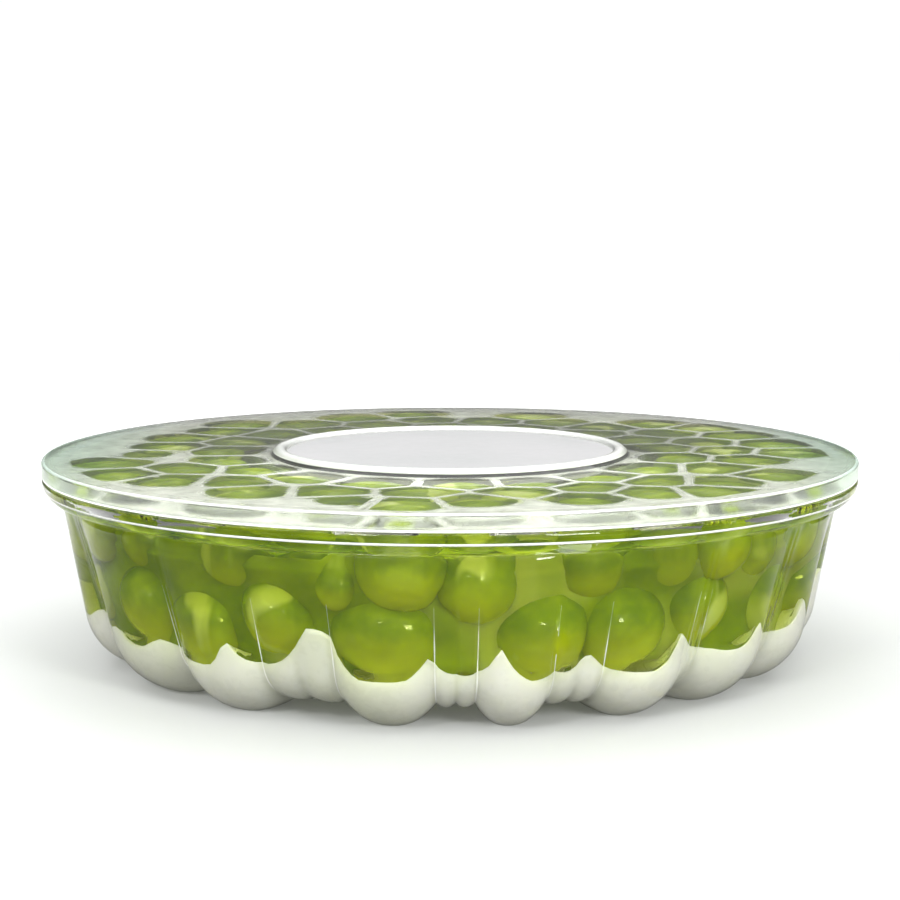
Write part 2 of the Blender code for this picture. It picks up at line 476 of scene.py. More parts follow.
@dataclass(frozen=True)
class GrapeFinish:
    """Glassy green flesh with painted light: deeper at the top, yellower where light gathers below, pale
    patches where light shows through, and a painted glow.
    """

    name: str
    deep: Colour
    green: Colour
    warm: Colour
    pale: Colour
    mottle_scale: float = 85.0
    patch_scale: float = 42.0
    patch_start: float = 0.565
    spread: float = 0.3
    spread_distance: float = 0.004
    coat: float = 1.0
    # Strength of the painted glow, an emission in the flesh colour.
    painted_glow: float = 0.15
    ior: float = 1.25
    bump: float = 0.00025

    def build(self, groups: SharedGroups) -> bpy.types.Material:
        """Makes the material.

        Args:
            groups: The shared node groups.

        Returns:
            The new material, which reads the painted-light attribute that is high on each grape's lower side.
        """
        material, graph, output = new_material(self.name)
        body = graph.add(
            "ShaderNodeBsdfPrincipled",
            IOR=self.ior,
            Metallic=0.0,
            Subsurface_Weight=self.spread,
            Subsurface_Scale=self.spread_distance,
            Subsurface_Radius=(1.0, 0.9, 0.15),
            Coat_Weight=self.coat,
            Coat_Roughness=0.05,
            Coat_IOR=1.5,
            Emission_Strength=self.painted_glow,
        )
        mottle = graph.group(
            groups.mottle, Deep=(*self.deep, 1.0), Pale=(*self.green, 1.0), Scale=self.mottle_scale
        )
        # Painted light: the colour turns yellower towards each grape's lower side, where light gathers.
        painted_glow = graph.add("ShaderNodeAttribute")
        painted_glow.attribute_name = "painted_glow"
        warmed = graph.mix_colours(painted_glow.outputs["Fac"], mottle.outputs["Color"], self.warm)
        # Painted light: pale patches where light shows through the flesh.
        patch = graph.group(
            groups.cloud, Scale=self.patch_scale, Amount=self.patch_start, Softness=0.05, Tallness=0.45
        )
        colour = graph.mix_colours(patch.outputs["Mask"], warmed, self.pale)
        graph.join(colour, body.inputs["Base Color"])
        graph.join(colour, body.inputs["Emission Color"])
        ripple = graph.group(groups.ripple, Scale=70.0, Smooth=0.04, Dull=0.16)
        bump = graph.add("ShaderNodeBump", Strength=1.0, Distance=self.bump)
        graph.join(ripple.outputs["Height"], bump.inputs["Height"])
        graph.join(bump.outputs["Normal"], body.inputs["Normal"])
        graph.join(ripple.outputs["Roughness"], body.inputs["Roughness"])
        graph.join(body.outputs["BSDF"], output.inputs["Surface"])
        return material


@dataclass(frozen=True)
class ReflectionHazeFinish:
    """A whitish film of painted reflection haze, which a per-point attribute makes thicker or thinner."""

    name: str
    colour: Colour
    thickest: float
    grain: float

    def build(self, groups: SharedGroups) -> bpy.types.Material:
        """Makes the material.

        Args:
            groups: The shared node groups.

        Returns:
            The new material.
        """
        material, graph, output = new_material(self.name)
        film = graph.add("ShaderNodeBsdfPrincipled", Roughness=0.7, Metallic=0.0)
        mottle = graph.group(
            groups.mottle,
            Deep=tuple(0.8 * c for c in self.colour) + (1.0,),
            Pale=(*self.colour, 1.0),
            Scale=self.grain,
        )
        graph.join(mottle.outputs["Color"], film.inputs["Base Color"])
        reflection_haze = graph.add("ShaderNodeAttribute")
        reflection_haze.attribute_name = "reflection_haze"
        patchy = graph.add("ShaderNodeMapRange", To_Min=0.6 * self.thickest, To_Max=self.thickest)
        graph.join(mottle.outputs["Mask"], patchy.inputs["Value"])
        alpha = graph.math("MULTIPLY", reflection_haze.outputs["Fac"], patchy.outputs["Result"])
        graph.join(alpha, film.inputs["Alpha"])
        graph.join(film.outputs["BSDF"], output.inputs["Surface"])
        return material


# ------------------------------------------------------------------ mesh building


def mesh_object(name: str, points: Array, faces: list, material: bpy.types.Material) -> bpy.types.Object:
    """Makes a smooth-shaded object with its place in its mesh.

    Args:
        name: The piece's name.
        points: Vertices, one row each.
        faces: Vertex indices of each face, turned outwards.
        material: The piece's material.

    Returns:
        The new object, linked to the scene.
    """
    mesh = bpy.data.meshes.new(name)
    mesh.from_pydata(points.tolist(), [], faces)
    mesh.materials.append(material)
    mesh.shade_smooth()
    mesh.validate()
    obj = bpy.data.objects.new(name, mesh)
    bpy.context.scene.collection.objects.link(obj)
    return obj


def stack_faces(rings: int, around: int, looped: bool) -> list[tuple[int, ...]]:
    """Quads between rings of equal length.

    Args:
        rings: How many rings there are.
        around: How many points each ring has.
        looped: Whether the last ring joins the first.

    Returns:
        The faces as vertex indices.
    """
    faces = []
    for row in range(rings if looped else rings - 1):
        low, high = row * around, (row + 1) % rings * around
        for step in range(around):
            after = (step + 1) % around
            faces.append((low + step, low + after, high + after, high + step))
    return faces


def signed_volume(points: Array, faces: list) -> float:
    """Volume of a closed mesh, below zero if its faces point inwards."""
    total = 0.0
    for face in faces:
        first = points[face[0]]
        for second, third in zip(face[1:], face[2:]):
            total += float(np.dot(first, np.cross(points[second], points[third])))
    return total / 6


def ring_body(name: str, rings: Array, material: bpy.types.Material, looped: bool) -> bpy.types.Object:
    """Makes a closed body from rings round the axis.

    Args:
        name: The piece's name.
        rings: Points of each ring, as rings x points x 3.
        material: The piece's material.
        looped: True for a ring-shaped body, whose last ring joins its first. Otherwise both ends are
            closed round a point on the axis.

    Returns:
        The new object.
    """
    count, around = rings.shape[:2]
    points = rings.reshape(-1, 3)
    faces = stack_faces(count, around, looped)
    if not looped:
        last = (count - 1) * around
        centres = [(0, 0, rings[0, :, 2].mean()), (0, 0, rings[-1, :, 2].mean())]
        points = np.vstack([points, centres])
        for step in range(around):
            after = (step + 1) % around
            faces.append((after, step, len(points) - 2))
            faces.append((last + step, last + after, len(points) - 1))
    if signed_volume(points, faces) < 0:
        faces = [face[::-1] for face in faces]
    return mesh_object(name, points, faces, material)


def smoothstep(low: float, high: float, value: Array) -> Array:
    """Smooth change from 0 at low to 1 at high, where low may be the larger."""
    share = np.clip((value - low) / (high - low), 0, 1)
    return share * share * (3 - 2 * share)


def soft_minimum(first: Array, second: Array, blend: float) -> Array:
    """The lower of two heights, rounded where they cross.

    Args:
        first: One height.
        second: The other.
        blend: How far apart the heights are where the rounding ends.

    Returns:
        The blended heights.
    """
    near = np.clip(1 - np.abs(first - second) / blend, 0, 1)
    return np.minimum(first, second) - near * near * blend / 4


def turned(angles: Array, radii: Array, heights: Array) -> Array:
    """Rings round the axis.

    Args:
        angles: Angle of each point from the front towards +X.
        radii: Radius of each ring.
        heights: Height of each ring.

    Returns:
        Points as rings x points x 3.
    """
    radii, heights = np.asarray(radii, float), np.asarray(heights, float)
    across = radii[:, None] * np.sin(angles)
    along = -radii[:, None] * np.cos(angles)
    return np.stack([across, along, np.repeat(heights[:, None], len(angles), 1)], axis=-1)


# ------------------------------------------------------------------ the mould's form


@dataclass(frozen=True)
class MouldForm:
    """Sizes of the fluted mould, and the rings that lie on its outer face or inside it."""

    rim_radius: float
    top: float
    wall: float = 0.0015
    collar_radius: float = 0.1184
    collar_height: float = 0.050
    valley_height: float = 0.006
    corner_centre: tuple[float, float] = (0.094, 0.020)
    corner_width: float = 0.0146
    corner_start: float = 18.0
    crown_inner_radius: float = 0.087
    chimney_foot: tuple[float, float] = (0.062, 0.026)
    chimney_top_radius: float = 0.0505
    relief_at_collar: float = 0.0008
    relief_at_foot: float = 0.0050
    relief_of_crown: float = 0.0066
    small_crest: float = 0.20
    small_crest_per_degree: float = 0.04
    arch_power: float = 2.4
    front_lobes: tuple[tuple[float, float], ...] = (
        (-65, -43.5), (-42.8, -27.6), (-16.4, -2.1), (3.8, 14.7), (22.1, 36.3), (38.4, 54),
    )
    even_lobes: tuple[int, int, int] = (57, 292, 20)
    even_lobe_width: float = 15.0
    lobe_steps: int = 14
    small_steps: int = 5

    def lobe_spans(self) -> list[tuple[float, float]]:
        """Returns the degrees where each big lobe starts and ends, once round."""
        even = [(start, start + self.even_lobe_width) for start in range(*self.even_lobes)]
        return list(self.front_lobes) + even

    def fluting(self) -> tuple[Array, Array]:
        """Samples one ring.

        Returns:
            The angle of each point, and its relief from 0 in a valley to 1 on a lobe's crest.
        """
        spans = self.lobe_spans()
        next_starts = [start for start, _ in spans[1:]] + [spans[0][0] + 360]
        angles, reliefs = [], []
        for (start, end), next_start in zip(spans, next_starts):
            middle = (end + next_start) / 2
            crest = min(self.small_crest, self.small_crest_per_degree * (next_start - end))
            ribs = (
                (start, end, self.lobe_steps, 1.0),
                (end, middle, self.small_steps, crest),
                (middle, next_start, self.small_steps, crest),
            )
            for low, high, steps, height in ribs:
                share = np.arange(steps) / steps
                angles.append(np.radians(low + share * (high - low)))
                reliefs.append(height * (1 - np.abs(2 * share - 1) ** self.arch_power))
        return np.concatenate(angles), np.concatenate(reliefs)

    def corner(self, degrees: Array) -> Array:
        """Stations on the bottom corner, where 0 faces out and 90 faces down.

        Args:
            degrees: How far round the corner each station is.

        Returns:
            Rows of radius, height, outward and upward part of the facing, and relief.
        """
        turn = np.radians(degrees)
        height = self.corner_centre[1] - self.valley_height
        share = (np.asarray(degrees) - self.corner_start) / (90 - self.corner_start)
        relief = self.relief_at_foot + share * (self.relief_of_crown - self.relief_at_foot)
        return np.stack([
            self.corner_centre[0] + self.corner_width * np.cos(turn),
            self.corner_centre[1] - height * np.sin(turn),
            np.cos(turn),
            -np.sin(turn),
            relief,
        ], axis=-1)

    def walls(self, share: Array) -> Array:
        """Stations on the straight wall, where 0 is the collar and 1 the top of the corner."""
        foot = self.corner(np.array([self.corner_start]))[0]
        collar = np.array([
            self.collar_radius, self.collar_height, foot[2], foot[3], self.relief_at_collar,
        ])
        return collar + np.asarray(share)[..., None] * (foot - collar)

    def wall_share(self, height: Array) -> Array:
        """How far down the straight wall a height lies."""
        foot = self.corner(np.array([self.corner_start]))[0]
        return (self.collar_height - height) / (self.collar_height - foot[1])

    def crown(self, degrees: Array) -> Array:
        """Stations where the crown rises to the chimney, where 0 faces down and 90 faces the axis."""
        turn = np.radians(degrees)
        relief = self.relief_of_crown * (1 - smoothstep(0, 62, np.asarray(degrees, float)))
        width = self.crown_inner_radius - self.chimney_foot[0]
        return np.stack([
            self.crown_inner_radius - width * np.sin(turn),
            self.chimney_foot[1] - (self.chimney_foot[1] - self.valley_height) * np.cos(turn),
            -np.sin(turn),
            -np.cos(turn),
            relief,
        ], axis=-1)

    def chimney_radius(self, height: Array) -> Array:
        """Radius of the chimney's hollow side."""
        share = (height - self.chimney_foot[1]) / (self.top - self.chimney_foot[1])
        return self.chimney_foot[0] + share * (self.chimney_top_radius - self.chimney_foot[0])

    def skin(self, stations: Array, inset: float) -> Array:
        """Rings on the outer face, or inside it.

        Args:
            stations: Rows as corner, walls and crown give them.
            inset: How far inside the outer face the rings lie.

        Returns:
            Points as rings x points x 3.
        """
        angles, flute = self.fluting()
        lift = stations[:, 4:5] * flute - inset
        radius = stations[:, 0:1] + stations[:, 2:3] * lift
        height = np.maximum(stations[:, 1:2] + stations[:, 3:4] * lift, inset)
        return np.stack([radius * np.sin(angles), -radius * np.cos(angles), height], axis=-1)

    def wall_ring(self, share: Array, inset: float) -> Array:
        """One ring on the straight wall that climbs and falls.

        Args:
            share: How far down the wall each point of the ring lies.
            inset: How far inside the outer face the ring lies.

        Returns:
            The ring's points.
        """
        angles, flute = self.fluting()
        rows = self.walls(share)
        lift = rows[:, 4] * flute - inset
        radius = rows[:, 0] + rows[:, 2] * lift
        height = rows[:, 1] + rows[:, 3] * lift
        return np.stack([radius * np.sin(angles), -radius * np.cos(angles), height], -1)

    def inner_radius(self, height: Array, angles: Array) -> Array:
        """Radius of the wall's jelly side at a height between the collar and the corner."""
        own_angles, flute = self.fluting()
        order = np.argsort(own_angles % (2 * math.pi))
        flute_here = np.interp(
            angles % (2 * math.pi), (own_angles % (2 * math.pi))[order], flute[order],
            period=2 * math.pi,
        )
        row = self.walls(np.clip(self.wall_share(height), 0, 1.0))
        return row[..., 0] + row[..., 2] * (row[..., 4] * flute_here - self.wall)


# ------------------------------------------------------------------ grapes


@dataclass
class GrapeBed:
    """Where each grape lies in the clear jelly, and its size. Those against the front wall are listed one by
    one, and the rest settle round them."""

    form: MouldForm
    ceiling: float
    floor: float = 0.0165
    mean_radius: float = 0.0112
    crowd: int = 82
    top_crowd: int = 46
    set_back: float = 0.009
    seed: int = 11
    # degrees from the front, distance from the axis and height of the centre, radius, all in mm
    front: tuple[tuple[float, float, float, float], ...] = (
        (-9.3, 98.0, 28.4, 13.0),
        (13.6, 97.5, 28.6, 12.8),
        (4.2, 99.0, 42.0, 12.4),
        (-26.6, 98.0, 31.0, 11.8),
        (-38.5, 98.5, 26.5, 11.4),
        (-51.5, 99.5, 29.5, 12.2),
        (-66.5, 99.5, 31.0, 11.6),
        (26.0, 98.5, 28.0, 12.8),
        (39.5, 98.5, 31.5, 12.4),
        (55.0, 98.0, 30.0, 11.8),
        (70.0, 98.5, 30.5, 11.8),
        (-15.8, 103.0, 40.5, 7.6),
        (-33.0, 99.0, 46.5, 10.6),
        (33.0, 99.0, 47.0, 10.8),
        (49.0, 100.0, 46.0, 10.4),
        (-52.0, 100.0, 47.5, 9.8),
        (20.5, 101.0, 45.5, 9.6),
    )
    centres: Array = field(init=False)
    radii: Array = field(init=False)

    def __post_init__(self) -> None:
        """Settles the bed."""
        rng = np.random.default_rng(self.seed)
        fixed = np.array(self.front)
        angle = np.radians(fixed[:, 0])
        fixed_centres = np.stack([
            fixed[:, 1] * np.sin(angle), -fixed[:, 1] * np.cos(angle), fixed[:, 2],
        ], axis=-1) / 1000
        turn = rng.uniform(0, 2 * math.pi, self.crowd)
        radius = rng.uniform(0.066, 0.102, self.crowd)
        height = rng.uniform(self.floor + 0.01, self.ceiling - 0.02, self.crowd)
        height[: self.top_crowd] = self.ceiling - 0.008
        loose = np.stack([radius * np.sin(turn), -radius * np.cos(turn), height], axis=-1)
        self.centres = np.vstack([fixed_centres, loose])
        sizes = self.mean_radius * rng.uniform(0.88, 1.1, self.crowd)
        self.radii = np.concatenate([fixed[:, 3] / 1000, sizes])
        self.settle(len(fixed))

    def settle(self, fixed: int, rounds: int = 260) -> None:
        """Pushes the loose grapes apart and back into the ring.

        Args:
            fixed: How many of the first grapes stay where they are.
            rounds: How many times the pushes are repeated.
        """
        held = np.zeros(len(self.radii), bool)
        held[:fixed] = True
        for _ in range(rounds):
            apart = self.centres[:, None] - self.centres[None]
            distance = np.linalg.norm(apart, axis=-1) + np.eye(len(self.radii))
            wanted = (self.radii[:, None] + self.radii[None]) * 0.99
            overlap = np.clip(wanted - distance, 0, None) * (1 - np.eye(len(self.radii)))
            push = (apart / distance[..., None] * overlap[..., None]).sum(axis=1) * 0.45
            self.centres[~held] += push[~held]
            self.keep_inside(~held)

    def keep_inside(self, moving: Array) -> None:
        """Moves grapes back between the chimney, the wall, the milk layer and the plate.

        Args:
            moving: Mask of the grapes that may move.
        """
        x, y, z = self.centres.T
        angles = np.arctan2(x, -y)
        z = np.clip(z, self.floor + self.radii * 0.9, self.ceiling - self.radii * 0.93)
        front = smoothstep(math.radians(82), math.radians(72), np.abs(angles))
        deep = np.maximum(front, smoothstep(0.034, 0.040, z))
        set_back = self.set_back * deep * smoothstep(0.0455, 0.0425, z)
        outer = self.form.inner_radius(z, angles) - self.radii * 1.02 - set_back
        inner = self.form.chimney_radius(z) + self.form.wall + self.radii * 1.02
        radius = np.clip(np.hypot(x, y), inner, np.maximum(outer, inner))
        kept = np.stack([radius * np.sin(angles), -radius * np.cos(angles), z], axis=-1)
        self.centres[moving] = kept[moving]


# ------------------------------------------------------------------ geometry nodes


class GeometryRecipe(NodeWriter):
    """A geometry node tree that puts a shape on every point of a mesh."""

    def __init__(self, name: str) -> None:
        """Starts the tree with its geometry sockets.

        Args:
            name: The tree's name.
        """
        super().__init__(bpy.data.node_groups.new(name, "GeometryNodeTree"))
        self.tree.interface.new_socket("Geometry", in_out="INPUT", socket_type="NodeSocketGeometry")
        self.tree.interface.new_socket("Geometry", in_out="OUTPUT", socket_type="NodeSocketGeometry")
        self.start = self.tree.nodes.new("NodeGroupInput")
        self.end = self.tree.nodes.new("NodeGroupOutput")
        self.values: dict[str, object] = {}

    def size(self, label: str, value: float, kind: str = "NodeSocketFloat") -> bpy.types.NodeSocket:
        """Adds a named input.

        Args:
            label: The input's name.
            value: The value that this object uses.
            kind: The socket's type.

        Returns:
            The socket that gives the value inside the tree.
        """
        socket = self.tree.interface.new_socket(label, in_out="INPUT", socket_type=kind)
        self.values[socket.identifier] = value
        return next(s for s in self.start.outputs if s.identifier == socket.identifier)

    def attribute(self, name: str) -> bpy.types.NodeSocket:
        """Returns the socket of a vector attribute of the input mesh."""
        node = self.add("GeometryNodeInputNamedAttribute", Name=name)
        node.data_type = "FLOAT_VECTOR"
        return next(s for s in node.outputs if s.enabled and s.name == "Attribute")

    def grow(self, source: bpy.types.Object, name: str) -> bpy.types.Object:
        """Runs the tree on an object and keeps the result as a plain mesh.

        Args:
            source: The object whose points carry the shapes. It is removed.
            name: The piece's name.

        Returns:
            The new piece.
        """
        modifier = source.modifiers.new("grow", "NODES")
        modifier.node_group = self.tree
        for identifier, value in self.values.items():
            modifier[identifier] = value
        graph = bpy.context.evaluated_depsgraph_get()
        mesh = bpy.data.meshes.new_from_object(source.evaluated_get(graph), depsgraph=graph)
        source.modifiers.remove(modifier)
        bpy.data.objects.remove(source, do_unlink=True)
        mesh.name = name
        piece = bpy.data.objects.new(name, mesh)
        bpy.context.scene.collection.objects.link(piece)
        return piece


def point_carrier(name: str, points: Array, vectors: dict[str, Array]) -> bpy.types.Object:
    """Makes a mesh of loose points for a recipe.

    Args:
        name: The carrier's name.
        points: The points.
        vectors: Vector attributes by name.

    Returns:
        The new object, linked to the scene.
    """
    mesh = bpy.data.meshes.new(name)
    mesh.from_pydata(points.tolist(), [], [])
    for label, rows in vectors.items():
        layer = mesh.attributes.new(label, "FLOAT_VECTOR", "POINT")
        layer.data.foreach_set("vector", np.asarray(rows, np.float32).ravel())
    carrier = bpy.data.objects.new(name, mesh)
    bpy.context.scene.collection.objects.link(carrier)
    return carrier


def round_things(
    name: str, material: bpy.types.Material, detail: int, wobble: float, grain: float
) -> GeometryRecipe:
    """Recipe for rounded bodies on points, each pushed a little out of shape.

    Args:
        name: The tree's name.
        material: The material of the bodies.
        detail: Subdivisions of the starting ball.
        wobble: How far the surface is pushed, in metres.
        grain: Size of the pushes, as a noise scale.

    Returns:
        The recipe. Its carrier has the vector attributes size, turn and centre, and its result has
        an attribute of painted light, which is 0 on top and high below, for light gathered at the bottom.
    """
    recipe = GeometryRecipe(name)
    steps = recipe.size("Detail", detail, "NodeSocketInt")
    push = recipe.size("Wobble", wobble)
    scale = recipe.size("Grain", grain)
    ball = recipe.add("GeometryNodeMeshIcoSphere", Radius=1.0)
    recipe.join(steps, ball.inputs["Subdivisions"])
    turn = recipe.add("FunctionNodeEulerToRotation")
    recipe.join(recipe.attribute("turn"), turn.inputs[0])
    placed = recipe.add("GeometryNodeInstanceOnPoints")
    recipe.join(recipe.start.outputs["Geometry"], placed.inputs["Points"])
    recipe.join(ball.outputs["Mesh"], placed.inputs["Instance"])
    recipe.join(turn.outputs[0], placed.inputs["Rotation"])
    recipe.join(recipe.attribute("size"), placed.inputs["Scale"])
    real = recipe.add("GeometryNodeRealizeInstances")
    recipe.join(placed.outputs["Instances"], real.inputs["Geometry"])
    noise = recipe.add("ShaderNodeTexNoise", Detail=1.0)
    recipe.join(recipe.add("GeometryNodeInputPosition").outputs[0], noise.inputs["Vector"])
    recipe.join(scale, noise.inputs["Scale"])
    centred = recipe.math("SUBTRACT", noise.outputs["Fac"], 0.5)
    amount = recipe.math("MULTIPLY", centred, push)
    along = recipe.add("ShaderNodeVectorMath")
    along.operation = "SCALE"
    recipe.join(recipe.add("GeometryNodeInputNormal").outputs[0], along.inputs[0])
    recipe.join(amount, along.inputs["Scale"])
    moved = recipe.add("GeometryNodeSetPosition")
    recipe.join(real.outputs["Geometry"], moved.inputs["Geometry"])
    recipe.join(along.outputs[0], moved.inputs["Offset"])
    apart = recipe.add("ShaderNodeVectorMath")
    apart.operation = "SUBTRACT"
    recipe.join(recipe.add("GeometryNodeInputPosition").outputs[0], apart.inputs[0])
    recipe.join(recipe.attribute("centre"), apart.inputs[1])
    facing = recipe.add("ShaderNodeVectorMath")
    facing.operation = "NORMALIZE"
    recipe.join(apart.outputs[0], facing.inputs[0])
    split = recipe.add("ShaderNodeSeparateXYZ")
    recipe.join(facing.outputs[0], split.inputs[0])
    # Painted light: a mask that is high on the lower side of each body, where light gathers.
    painted_glow = recipe.add("ShaderNodeMapRange", From_Min=0.1, From_Max=-1.0, To_Min=0.0, To_Max=0.8)
    recipe.join(split.outputs["Z"], painted_glow.inputs["Value"])
    stored = recipe.add("GeometryNodeStoreNamedAttribute", Name="painted_glow")
    recipe.join(moved.outputs["Geometry"], stored.inputs["Geometry"])
    recipe.join(painted_glow.outputs["Result"], stored.inputs["Value"])
    smooth = recipe.add("GeometryNodeSetShadeSmooth")
    recipe.join(stored.outputs["Geometry"], smooth.inputs["Geometry"])
    dressed = recipe.add("GeometryNodeSetMaterial")
    dressed.inputs["Material"].default_value = material
    recipe.join(smooth.outputs["Geometry"], dressed.inputs["Geometry"])
    recipe.join(dressed.outputs["Geometry"], recipe.end.inputs["Geometry"])
    return recipe


# ------------------------------------------------------------------ pieces


@dataclass
class GlassPlate:
    """The round plate, upside down, with its foot ring on top."""

    radius: float
    bottom: float
    top: float
    edge_round: float = 0.0009
    ring_radius: float = 0.0527
    ring_half_width: float = 0.0023
    ring_height: float = 0.0015
    around: int = 300

    def finish(self) -> ClearFinish:
        """Clear glass that shows green through its length."""
        return ClearFinish(
            "plate_glass", (1.0, 1.0, 1.0), 1.5, (0.97, 0.99, 0.98), 25.0, 0.00003,
            0.0, 0.015, (0.55, 0.93, 0.80), 0.8, 0.2, (0.66, 0.86, 0.78),
        )

    def outline(self) -> tuple[Array, Array]:
        """Returns the radius and height of each ring, from the underside round to the recess on top."""
        turn = np.radians(np.linspace(0, 90, 6))
        curve_out, curve_up = self.edge_round * np.sin(turn), self.edge_round * (1 - np.cos(turn))
        low_radius = self.radius - self.edge_round + curve_out
        low_height = self.bottom + curve_up
        high_radius = low_radius[::-1]
        high_height = self.top - curve_up[::-1]
        arc = np.radians(np.linspace(0, 180, 15))
        ring_radius = self.ring_radius + self.ring_half_width * np.cos(arc)
        ring_height = self.top + self.ring_height * np.sin(arc) ** 0.8
        flat = np.array([0.02, 0.06, 0.1])
        radius = np.concatenate([flat, low_radius, high_radius, [0.09], ring_radius, [0.03, 0.01]])
        height = np.concatenate([
            np.full(3, self.bottom), low_height, high_height, [self.top], ring_height,
            np.full(2, self.top),
        ])
        return radius, height

    def build(self, groups: SharedGroups) -> bpy.types.Object:
        """Makes the plate.

        Args:
            groups: The shared node groups.

        Returns:
            The finished piece.
        """
        angles = np.linspace(0, 2 * math.pi, self.around, endpoint=False)
        rings = turned(angles, *self.outline())
        piece = ring_body("plate_body", rings, self.finish().build(groups), looped=False)
        away = np.array([math.hypot(v.co.x, v.co.y) for v in piece.data.vertices])
        layer = piece.data.attributes.new("blur", "FLOAT", "POINT")
        blur = smoothstep(self.radius - self.edge_round, self.radius, away)
        layer.data.foreach_set("value", blur.astype(np.float32))
        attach(piece, "root")
        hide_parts("glass_plate")
        return piece


@dataclass
class FrostedBase:
    """The ground face inside the foot ring, as a thin layer on the plate."""

    plate: GlassPlate
    thickness: float = 0.00025
    sink: float = 0.0001
    around: int = 160

    def finish(self) -> SoftFinish:
        """Ground glass."""
        return SoftFinish(
            "ground_glass", (0.445, 0.45, 0.45), (0.485, 0.48, 0.485), 18.0, 0.0, 0.001,
            (1.0, 1.0, 1.0), 60.0, 0.00002, 0.6, 0.8, ior=1.15,
        )

    def build(self, groups: SharedGroups) -> bpy.types.Object:
        """Makes the layer.

        Args:
            groups: The shared node groups.

        Returns:
            The finished piece.
        """
        plate = self.plate
        rim = plate.ring_radius - plate.ring_half_width * 0.9
        low, high = plate.top - self.sink, plate.top + self.thickness
        radius = [0.015, 0.035, rim - 0.0003, rim, rim, rim - 0.0003, 0.035, 0.015]
        height = [low, low, low, low + 0.0001, high - 0.0001, high, high, high]
        angles = np.linspace(0, 2 * math.pi, self.around, endpoint=False)
        rings = turned(angles, radius, height)
        piece = ring_body("plate_ground_base", rings, self.finish().build(groups), looped=False)
        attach(piece, "root")
        return piece


@dataclass
class Mould:
    """The clear fluted mould with its flange and hollow chimney."""

    form: MouldForm
    lip_round: float = 0.0006
    cap_radii: tuple[float, float] = (0.03, 0.01)
    wall_rings: int = 13
    corner_rings: int = 12
    crown_rings: int = 14
    chimney_rings: int = 8

    def finish(self) -> ClearFinish:
        """Clear moulded plastic."""
        return ClearFinish(
            "clear_mould", (1.0, 1.0, 1.0), 1.45, (0.97, 0.98, 0.97), 45.0, 0.00012,
            0.0, 0.02,
        )

    def fluted(self, inset: float) -> list[Array]:
        """Returns the rings of the wall, the corner and the crown, this far inside the outer face."""
        form = self.form
        bend = np.linspace(form.corner_start, 90, self.corner_rings)[1:]
        return [
            form.skin(form.walls(np.linspace(0, 1, self.wall_rings)), inset),
            form.skin(form.corner(bend), inset),
            form.skin(form.crown(np.linspace(0, 90, self.crown_rings)), inset),
        ]

    def outside(self) -> Array:
        """Returns the rings from the flange's lip, down the wall and up inside the chimney."""
        form = self.form
        angles, _ = form.fluting()
        turn = np.radians(np.linspace(0, 88, 10))
        lip = form.top - self.lip_round
        width, depth = form.rim_radius - form.collar_radius, lip - form.collar_height
        flange_radius = form.collar_radius + width * np.cos(turn)
        flange_height = lip - depth * np.sin(turn)
        rise = np.linspace(form.chimney_foot[1], form.top - form.wall, self.chimney_rings)[1:]
        return np.concatenate([
            turned(angles, flange_radius, flange_height),
            *self.fluted(0),
            turned(angles, form.chimney_radius(rise), rise),
            turned(angles, self.cap_radii, [form.top - form.wall] * 2),
        ])

    def inside(self) -> Array:
        """Returns the rings of the jelly side, from the middle of the chimney's top to the flange."""
        form = self.form
        angles, _ = form.fluting()
        rise = np.linspace(form.chimney_foot[1], form.top, self.chimney_rings)[1:]
        wall_radius = form.collar_radius - form.wall
        down = [
            turned(angles, [form.rim_radius - self.lip_round, wall_radius], [form.top] * 2),
            *self.fluted(form.wall),
            turned(angles, form.chimney_radius(rise) + form.wall, rise),
            turned(angles, self.cap_radii, [form.top] * 2),
        ]
        return np.concatenate(down)[::-1]

    def build(self, groups: SharedGroups) -> bpy.types.Object:
        """Makes the mould.

        Args:
            groups: The shared node groups.

        Returns:
            The finished piece.
        """
        piece = ring_shell("mould_body", self.outside(), self.inside(), self.finish().build(groups))
        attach(piece, "root")
        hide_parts("mould", "mould_chimney")
        return piece


def ring_shell(name: str, outside: Array, inside: Array, material: bpy.types.Material) -> bpy.types.Object:
    """Makes a thin-walled body that both faces close over the axis.

    Args:
        name: The piece's name.
        outside: Rings of the outer face, from the lip to the middle.
        inside: Rings of the inner face, from the middle to the lip.
        material: The piece's material.

    Returns:
        The new object.
    """
    around = outside.shape[1]
    middles = np.array([(0, 0, outside[-1, 0, 2]), (0, 0, inside[0, 0, 2])])
    points = np.vstack([outside.reshape(-1, 3), inside.reshape(-1, 3), middles])
    offset = outside.shape[0] * around
    total = offset + inside.shape[0] * around
    faces = stack_faces(outside.shape[0], around, False)
    faces += [tuple(i + offset for i in face) for face in stack_faces(inside.shape[0], around, False)]
    for step in range(around):
        after = (step + 1) % around
        faces.append((offset - around + step, offset - around + after, total))
        faces.append((offset + after, offset + step, total + 1))
        faces.append((total - around + step, total - around + after, after, step))
    if signed_volume(points, faces) < 0:
        faces = [face[::-1] for face in faces]
    return mesh_object(name, points, faces, material)


